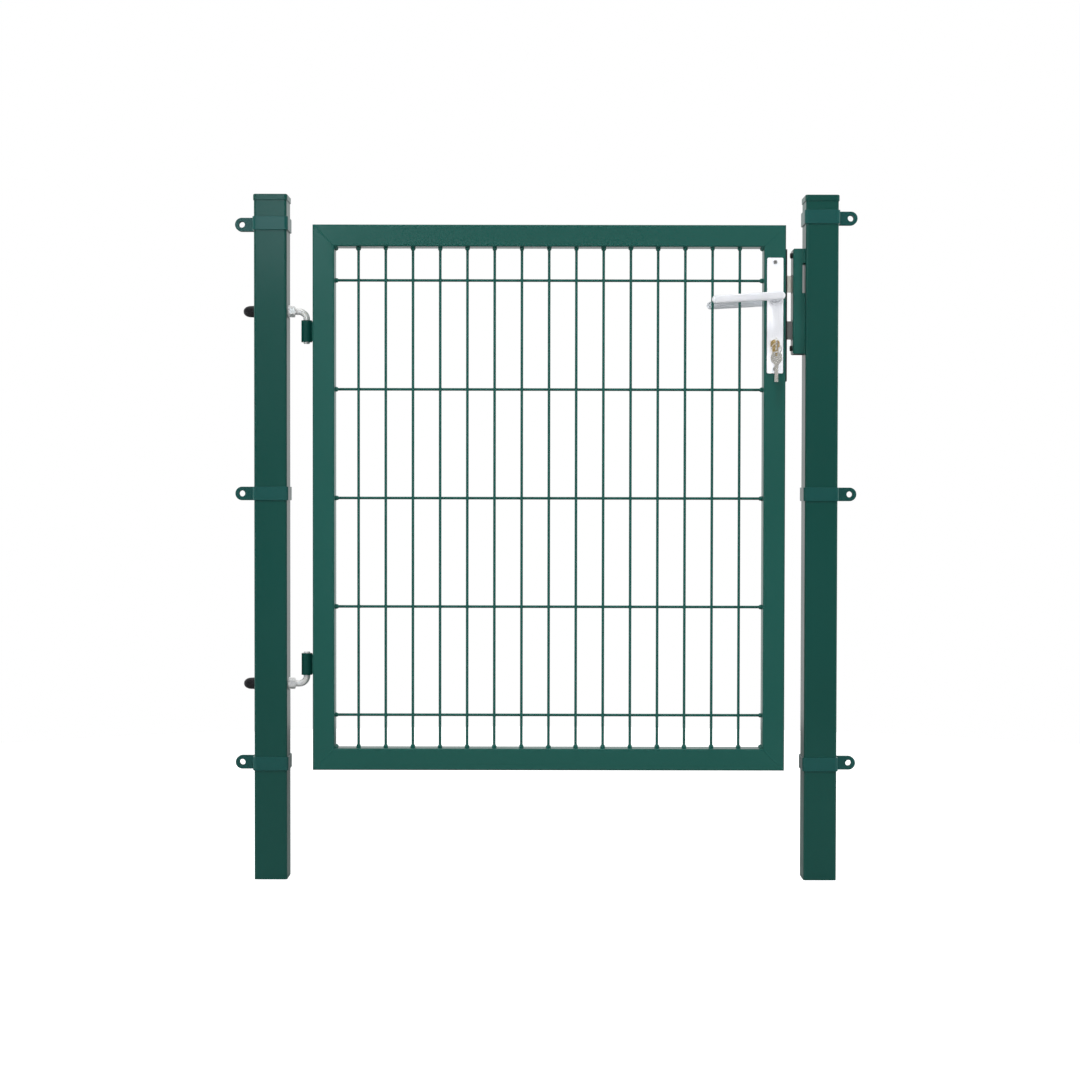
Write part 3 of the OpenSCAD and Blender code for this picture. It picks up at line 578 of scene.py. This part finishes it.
def build_frame_seams():
    """At each corner: a flat bead on both mitres, a full one inside and a fine one outside."""
    bm = bmesh.new()
    seed = 100
    corners = [(LEAF_X0, INNER_X0, LEAF_Z0, INNER_Z0), (LEAF_X0, INNER_X0, LEAF_Z1, INNER_Z1),
               (LEAF_X1, INNER_X1, LEAF_Z0, INNER_Z0), (LEAF_X1, INNER_X1, LEAF_Z1, INNER_Z1)]
    for xo, xi, zo, zi in corners:
        sx, sz = math.copysign(1, xi - xo), math.copysign(1, zi - zo)
        for side in (FRONT, REAR):
            seed += 1
            y = side * (TUBE_HALF - 0.05 * MM)
            a = Vector((xo + sx * MITRE_OUTER_INSET, y, zo + sz * MITRE_OUTER_INSET))
            b = Vector((xi - sx * MITRE_INNER_INSET, y, zi - sz * MITRE_INNER_INSET))
            bead(bm, a, b, MITRE_R, FRAME_RIPPLE, seed, flatten=(Vector((0, 1, 0)), MITRE_KEPT))
        seed += 1
        corner_bead(bm, xi + sx * INNER_BEAD_OFF, zi + sz * INNER_BEAD_OFF, INNER_BEAD_SHORT,
                    INNER_BEAD_R, INNER_RIPPLE, seed)
        seed += 1
        corner_bead(bm, xo + sx * OUTER_BEAD_OFF, zo + sz * OUTER_BEAD_OFF, OUTER_BEAD_SHORT,
                    OUTER_BEAD_R, FRAME_RIPPLE, seed)
    new_piece("frame_corner_welds", bm, "leaf", GREEN)


WEB_HALF = 4 * MM
WEB_BEAD_R = 2.3 * MM


def build_barrel_welds():
    """Fillets that join each barrel's web to the stile."""
    bm = bmesh.new()
    seed = 200
    x = LEAF_X0 - 0.4 * MM
    inset = 2.6 * MM
    for node in ("upper_barrel", "lower_barrel"):
        lo, hi = span(node)
        for side in (FRONT, REAR):
            seed += 1
            y = side * (WEB_HALF + 0.3 * MM)
            a = Vector((x, y, lo.z + inset))
            b = Vector((x, y, hi.z - inset))
            bead(bm, a, b, WEB_BEAD_R, WEB_BEAD_R, seed)
    new_piece("barrel_welds", bm, "leaf", GREEN)


# ---- hinge hardware ----

BEND_R = 14 * MM
THREAD_PITCH = 1.75 * MM
THREAD_DEPTH = 0.6 * MM
THREAD_TO_BEND = 3.5 * MM
BOLT_CHAMFER = 1.2 * MM
BOLT_LEAD_IN = 1.1 * MM
THREAD_RUN_IN = 1.6 * MM
THREAD_RUN_OUT = 2.5 * MM
THREAD_STEPS = 10
BEND_STEPS = 24
PIN_STEPS = 8


def build_hinge_bolt(node, turn):
    """Bent bolt with a rolled thread on its straight end; turn is -1 for a pin pointing down."""
    lo, hi = span(node)
    r = (hi.y - lo.y) / 2
    axis_x = hi.x - r
    z = hi.z - r if turn < 0 else lo.z + r
    tip_z = lo.z if turn < 0 else hi.z
    bend_start = axis_x - BEND_R
    thread_end = bend_start - THREAD_TO_BEND
    step = THREAD_PITCH / THREAD_STEPS
    threaded = int((thread_end - lo.x) / step)
    path = [Vector((lo.x + i * step, 0, z)) for i in range(threaded + 1)]
    shank_x = path[-1].x
    path += [Vector((shank_x + (bend_start - shank_x) * i / 4, 0, z)) for i in (1, 2, 3)]
    for i in range(BEND_STEPS + 1):
        a = math.pi / 2 * i / BEND_STEPS
        path.append(Vector((bend_start + BEND_R * math.sin(a), 0,
                            z + turn * BEND_R * (1 - math.cos(a)))))
    pin_z = path[-1].z
    pin_length = tip_z - turn * BOLT_CHAMFER - pin_z
    path += [Vector((axis_x, 0, pin_z + pin_length * i / PIN_STEPS))
             for i in range(1, PIN_STEPS + 1)]
    path.append(Vector((axis_x, 0, tip_z)))

    def radius(i, a):
        if i == len(path) - 1:
            return r - BOLT_CHAMFER
        if i > threaded:
            return r
        p = path[i].x
        wave = ((p - lo.x) / THREAD_PITCH + a / (2 * math.pi)) % 1.0
        # A triangle wave, clipped for the flat crest here and for the flat root at the cut.
        tooth = max(0.0, abs(2 * wave - 1) * 1.25 - 0.12)
        run_in = min(1.0, (p - lo.x) / THREAD_RUN_IN)
        run_out = min(1.0, (path[threaded].x - p) / THREAD_RUN_OUT)
        cut = THREAD_DEPTH * min(1.0, tooth) * run_out
        return min(r, r - cut) - (1 - run_in) * BOLT_LEAD_IN

    bm = bmesh.new()
    sweep(bm, path, radius, 28)
    new_piece(node + "_rod", bm, "posts", ZINC, (node,))


COVER_STRAIGHT = 8.5 * MM
DOME_INSET = 1.0 * MM


def build_nut_cover(node):
    """Domed push-on cover with a rim and a faint ring under the dome."""
    lo, hi = span(node)
    c = (lo + hi) / 2
    outer = (hi.z - lo.z) / 2
    length = hi.x - lo.x
    base = Vector((hi.x, 0, c.z))
    dome = length - COVER_STRAIGHT
    profile = [(0, outer - 0.6 * MM), (0.25 * MM, outer - 0.15 * MM), (0.8 * MM, outer),
               (2.0 * MM, outer), (2.5 * MM, outer - 0.25 * MM), (2.9 * MM, outer - 0.75 * MM),
               (3.6 * MM, outer - 0.8 * MM), (COVER_STRAIGHT, outer - DOME_INSET)]
    steps = 20
    for i in range(1, steps + 1):
        a = math.pi / 2 * i / steps
        profile.append((COVER_STRAIGHT + dome * math.sin(a),
                        (outer - DOME_INSET) * math.cos(a) ** 0.9))
    bm = bmesh.new()
    lathe(bm, base, Vector((-1, 0, 0)), profile, 56)
    new_piece(node + "_moulding", bm, "posts", BLACK, (node,))


# ---- levers and key ring ----

# The grip's section, its reach past the pivot each way, and its slimming towards the tip.
DROOP = math.radians(3.5)
LEVER_DEPTH = 10 * MM
LEVER_HALF_H = 7.75 * MM
LEVER_BACK = 13.75 * MM
LEVER_REACH = 119 * MM
LEVER_TAPER = 0.05
LEVER_THINNING = 0.06
SECTION_POWER = 0.62
NECK_R = 8.45 * MM
LEVER_VOXEL = 0.55 * MM


def build_lever(node, side):
    """Lever: round neck blended into a flattened bar with round ends."""
    lo, hi = span(node)
    y_out = lo.y if side == FRONT else hi.y
    y_in = hi.y if side == FRONT else lo.y
    grip_y = y_out - side * LEVER_DEPTH / 2
    pivot = Vector((LOCK.x, grip_y, LOCK.z))
    along = Vector((-math.cos(DROOP), 0, -math.sin(DROOP)))
    up = Vector((-math.sin(DROOP), 0, math.cos(DROOP)))
    out = Vector((0, side, 0))
    start, end = -LEVER_BACK, LEVER_REACH
    steps = 60
    count = 40
    rings = []
    for i in range(steps + 1):
        t = i / steps
        s = start + (end - start) * 0.5 * (1 - math.cos(math.pi * t))
        taper = 1 - LEVER_TAPER * max(0.0, s) / end
        thinning = 1 - LEVER_THINNING * max(0.0, s) / end
        cap = round_end(min(s - start, end - s) / LEVER_HALF_H)
        half_h = LEVER_HALF_H * taper * cap
        half_d = LEVER_DEPTH / 2 * (0.35 + 0.65 * cap) * thinning
        ring = []
        for k in range(count):
            a = 2 * math.pi * k / count
            ca, sa = math.cos(a), math.sin(a)
            px = math.copysign(abs(ca) ** SECTION_POWER, ca) * half_h
            py = math.copysign(abs(sa) ** SECTION_POWER, sa) * half_d
            ring.append(pivot + along * s + up * px + out * py)
        rings.append(ring)
    bm = bmesh.new()
    loft(bm, rings)
    neck_len = abs(grip_y - y_in)
    lathe(bm, Vector((LOCK.x, y_in, LOCK.z)), out,
          [(0, NECK_R - 0.5 * MM), (0.5 * MM, NECK_R), (neck_len * 0.72, NECK_R),
           (neck_len * 0.90, NECK_R - 0.5 * MM), (neck_len * 1.02, NECK_R - 1.6 * MM)], 48)
    obj = new_piece(node + "_forging", bm, "handles", LEVER_METAL, (node,))
    remesh = obj.modifiers.new("remesh", "REMESH")
    remesh.mode = "VOXEL"
    remesh.voxel_size = LEVER_VOXEL
    remesh.use_smooth_shade = True
    smooth = obj.modifiers.new("smooth", "SMOOTH")
    smooth.factor = 0.5
    smooth.iterations = 12


RING_WIRE = 0.52 * MM
RING_TWIST = math.radians(25)
RING_TURNS = 2


def build_key_ring():
    """Split ring: two turns of round wire side by side, stepping across after the first."""
    lo, hi = span("key_ring")
    c = (lo + hi) / 2
    radius = (hi.z - lo.z) / 2 - 1 * MM
    u = Vector((math.cos(RING_TWIST), math.sin(RING_TWIST), 0))
    n = Vector((-math.sin(RING_TWIST), math.cos(RING_TWIST), 0))
    up = Vector((0, 0, 1))
    per_turn = 64
    start_angle = 0.9
    path = []
    for i in range(RING_TURNS * per_turn - 2):
        a = 2 * math.pi * i / per_turn + start_angle
        crossed = min(1.0, max(0.0, (i / per_turn - 0.85) / 0.3))
        lay = -RING_WIRE + 2 * RING_WIRE * crossed
        path.append(c + (u * math.cos(a) + up * math.sin(a)) * radius + n * lay)
    bm = bmesh.new()
    sweep(bm, path, lambda i, a: RING_WIRE, 12)
    new_piece("key_ring_wire", bm, "ring", NICKEL, ("key_ring",))


# CLOSED_ENDS says how far the turns crowd towards the two ends.
SPRING_WIRE = 0.5 * MM
SPRING_TURNS = 7
CLOSED_ENDS = 0.11


def build_latch_spring():
    """Compression spring with closed end coils."""
    lo, hi = span("latch_spring")
    c = (lo + hi) / 2
    radius = (hi.z - lo.z) / 2 - SPRING_WIRE
    start, length = lo.x + SPRING_WIRE, hi.x - lo.x - 2 * SPRING_WIRE
    per_turn = 28
    path = []
    for i in range(SPRING_TURNS * per_turn + 1):
        t = i / (SPRING_TURNS * per_turn)
        a = 2 * math.pi * SPRING_TURNS * t
        eased = t - CLOSED_ENDS * math.sin(2 * math.pi * t)
        path.append(Vector((start + length * eased, c.y + radius * math.cos(a),
                            c.z + radius * math.sin(a))))
    bm = bmesh.new()
    sweep(bm, path, lambda i, a: SPRING_WIRE, 10)
    coil = new_piece("latch_spring_coil", bm, "leaf", STEEL,
                     ("latch_spring",))
    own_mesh(coil)


# ---- strike ----

STRIKE_WALL = 2 * MM
OUTER_BEND_R = 3.0 * MM
INNER_BEND_R = 1.0 * MM
STRIKE_EDGE = 0.35 * MM


def build_strike():
    """Folded channel strike: a copy of the CAD mesh with its long bends rounded."""
    node = "strike"
    obj = NODES[node]
    copy = obj.copy()
    copy.data = obj.data.copy()
    for key in list(copy.keys()):
        if key.startswith("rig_"):
            del copy[key]
    copy.name = "strike_channel"
    copy.parent = None
    copy.modifiers.clear()
    bpy.context.scene.collection.objects.link(copy)
    lo, hi = span(node)
    bm = bmesh.new()
    bm.from_mesh(copy.data)
    bmesh.ops.remove_doubles(bm, verts=bm.verts[:], dist=MERGE_DISTANCE)
    bmesh.ops.dissolve_limit(bm, angle_limit=math.radians(0.3), verts=bm.verts[:],
                             edges=bm.edges[:])

    def upright(edge, x, y):
        near = 0.05 * MM
        return all(abs(v.co.x - x) < near and abs(abs(v.co.y) - y) < near for v in edge.verts)

    def inside_bend(edge):
        return edge.is_valid and upright(edge, lo.x + STRIKE_WALL, hi.y - STRIKE_WALL)

    outer = [e for e in bm.edges if upright(e, lo.x, hi.y)]
    bmesh.ops.bevel(bm, geom=outer, offset=OUTER_BEND_R, segments=6, profile=0.5, affect="EDGES")
    inner = [e for e in bm.edges if inside_bend(e)]
    bmesh.ops.bevel(bm, geom=inner, offset=INNER_BEND_R, segments=4, profile=0.5, affect="EDGES")
    bm.to_mesh(copy.data)
    bm.free()
    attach(copy, "posts")
    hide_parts(node)
    copy.data.materials.clear()
    copy.data.materials.append(GREEN)
    bevel = copy.modifiers.new("bevel", "BEVEL")
    bevel.width = STRIKE_EDGE
    bevel.segments = 2
    bevel.limit_method = "ANGLE"
    bevel.angle_limit = math.radians(40)
    shade(copy)


# ---- studio ----

FLOOR_R = 2.6
FLOOR_GLOW = 1.1


def build_stage():
    """Round floor that the camera sees as white and that bounces little light on the object."""
    bm = bmesh.new()
    bmesh.ops.create_circle(bm, cap_ends=True, segments=96, radius=FLOOR_R)
    mesh = bpy.data.meshes.new("studio_floor")
    bm.to_mesh(mesh)
    bm.free()
    floor = bpy.data.objects.new("studio_floor", mesh)
    bpy.context.scene.collection.objects.link(floor)
    f = Finish("studio_paper", rough=0.9, specular=0.1)
    f.paint(f.ramp(f.noise(scale=1.5, detail=2.0), [(0.3, grey(0.20)), (0.7, grey(0.22))]))
    f.shader.inputs["Emission Color"].default_value = (1, 1, 1, 1)
    rays = f.tree.nodes.new("ShaderNodeLightPath")
    f.link(f.scaled(rays.outputs["Is Camera Ray"], 0.0, 1.0, 0.0, FLOOR_GLOW),
           f.shader.inputs["Emission Strength"])
    mesh.materials.append(f.mat)


def area_light(name, place, target, size, power, colour=(1, 1, 1), shines=True, fills=True):
    """Softbox; shines means it shows in gloss, fills means it lights matt surfaces."""
    data = bpy.data.lights.new(name, "AREA")
    data.shape = "RECTANGLE"
    data.size, data.size_y = size
    data.energy = power
    data.color = colour
    light = bpy.data.objects.new(name, data)
    light.location = place
    light.rotation_euler = (Vector(target) - Vector(place)).to_track_quat("-Z", "Y").to_euler()
    light.visible_camera = False
    light.visible_glossy = shines
    light.visible_diffuse = fills
    bpy.context.scene.collection.objects.link(light)


SIDE_BOX = (1.2, 2.6)
LEFT_BOX_AT = (-2.9, -2.4, 1.1)
RIGHT_BOX_AT = (3.0, -2.3, 1.0)
LEAF_MIDDLE = (0, 0, 0.7)


def build_lights():
    """Soft light from the sides, front, above and behind; gloss has softboxes of its own."""
    area_light("left_fill", LEFT_BOX_AT, LEAF_MIDDLE, SIDE_BOX, 60, shines=False)
    area_light("right_fill", RIGHT_BOX_AT, LEAF_MIDDLE, SIDE_BOX, 57, shines=False)
    area_light("front_fill", (0.2, -4.7, 1.5), LEAF_MIDDLE, (1.6, 1.6), 58, shines=False)
    area_light("high_key", (-0.5, -4.0, 7.0), LEAF_MIDDLE, (1.2, 1.2), 290, shines=False)
    area_light("left_shine", LEFT_BOX_AT, LEAF_MIDDLE, SIDE_BOX, 34, fills=False)
    area_light("right_shine", RIGHT_BOX_AT, LEAF_MIDDLE, SIDE_BOX, 30, fills=False)
    area_light("high_left_shine", (-1.0, -4.1, 1.9), (-0.5, 0, 1.1), (0.3, 0.7), 5.5,
               colour=(0.74, 0.92, 1.0), fills=False)
    area_light("left_back_fill", (-2.6, 0.5, 1.3), (0.5, 0, 0.8), (1.2, 2.2), 60, shines=False)
    area_light("right_back_fill", (2.6, 0.5, 1.3), (-0.5, 0, 0.8), (1.2, 2.2), 55, shines=False)
    area_light("top_shine", (0, -0.9, 3.4), (0, 0, 0.8), (2.6, 1.0), 14, fills=False)


def build_world():
    """White to look at; dimmer towards the front for what the object reflects."""
    world = bpy.data.worlds.new("studio")
    bpy.context.scene.world = world
    world.use_nodes = True
    tree = world.node_tree
    tree.nodes.clear()
    coord = tree.nodes.new("ShaderNodeTexCoord").outputs["Generated"]
    parts = tree.nodes.new("ShaderNodeSeparateXYZ")
    tree.links.new(coord, parts.inputs["Vector"])
    fade = tree.nodes.new("ShaderNodeMapRange")
    fade.interpolation_type = "SMOOTHSTEP"
    for key, value in (("From Min", -0.35), ("From Max", 0.25),
                       ("To Min", 0.10), ("To Max", 0.95)):
        fade.inputs[key].default_value = value
    tree.links.new(parts.outputs["Y"], fade.inputs["Value"])
    soft = tree.nodes.new("ShaderNodeBackground")
    tree.links.new(fade.outputs["Result"], soft.inputs["Strength"])
    seen = tree.nodes.new("ShaderNodeBackground")
    seen.inputs["Strength"].default_value = 1.0
    seen.inputs["Color"].default_value = (1, 1, 1, 1)
    rays = tree.nodes.new("ShaderNodeLightPath")
    mix = tree.nodes.new("ShaderNodeMixShader")
    out = tree.nodes.new("ShaderNodeOutputWorld")
    tree.links.new(rays.outputs["Is Camera Ray"], mix.inputs["Fac"])
    tree.links.new(soft.outputs["Background"], mix.inputs[1])
    tree.links.new(seen.outputs["Background"], mix.inputs[2])
    tree.links.new(mix.outputs["Shader"], out.inputs["Surface"])


CAMERA_PLACE = Vector((-0.009, -4.0, 0.7087))
YAW, PITCH, ROLL = -0.0004, -0.0214, 0.0016
SENSOR_WIDTH = 36
FOCAL_LENGTH = 72.4


def build_camera():
    """Camera in front of the leaf, level with its middle and looking very slightly down."""
    ahead = Vector((math.sin(YAW) * math.cos(PITCH), math.cos(YAW) * math.cos(PITCH),
                    math.sin(PITCH)))
    level = Vector((math.cos(YAW), -math.sin(YAW), 0))
    upright = level.cross(ahead)
    right = level * math.cos(ROLL) + upright * math.sin(ROLL)
    up = upright * math.cos(ROLL) - level * math.sin(ROLL)
    data = bpy.data.cameras.new("camera")
    data.sensor_width = SENSOR_WIDTH
    data.lens = FOCAL_LENGTH
    data.clip_end = 200
    camera = bpy.data.objects.new("camera", data)
    camera.matrix_world = Matrix((
        (right.x, up.x, -ahead.x, CAMERA_PLACE.x),
        (right.y, up.y, -ahead.y, CAMERA_PLACE.y),
        (right.z, up.z, -ahead.z, CAMERA_PLACE.z),
        (0, 0, 0, 1)))
    bpy.context.scene.collection.objects.link(camera)
    bpy.context.scene.camera = camera


build_camera()
finish_cad_nodes()
build_wire_welds()
build_crossing_welds()
build_frame_seams()
build_barrel_welds()
build_hinge_bolt("upper_hinge_bolt", -1)
build_hinge_bolt("lower_hinge_bolt", 1)
build_nut_cover("upper_nut_cover")
build_nut_cover("lower_nut_cover")
build_lever("front_lever", FRONT)
build_lever("rear_lever", REAR)
build_key_ring()
build_latch_spring()
build_strike()
build_stage()
build_world()
build_lights()
bpy.context.scene.view_settings.view_transform = "Standard"
